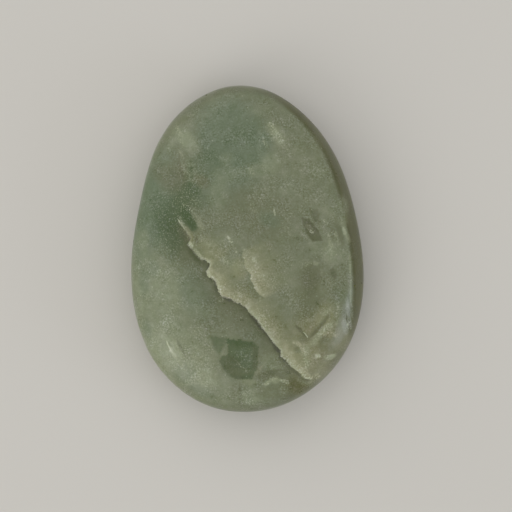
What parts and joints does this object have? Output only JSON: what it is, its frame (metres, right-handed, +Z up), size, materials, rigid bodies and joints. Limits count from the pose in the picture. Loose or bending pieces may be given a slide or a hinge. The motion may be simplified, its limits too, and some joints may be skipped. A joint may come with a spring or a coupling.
{
  "type": "flat tumbled quartz stone",
  "caption": "Flat egg-shaped tumbled stone with polished faces, a steep bevel along one flank and a small flat foot to rest on.",
  "frame": {"origin": "centre of the stone's footprint box, on the surface that it rests on", "axes": "+Z up, +Y towards the narrow end of the egg, +X towards the bevelled flank"},
  "size_m": [0.0358, 0.05, 0.0115],
  "materials": {
    "green_quartz": "polished"
  },
  "bodies": {
    "root": {"stone": "green_quartz"}
  },
  "joints": []
}
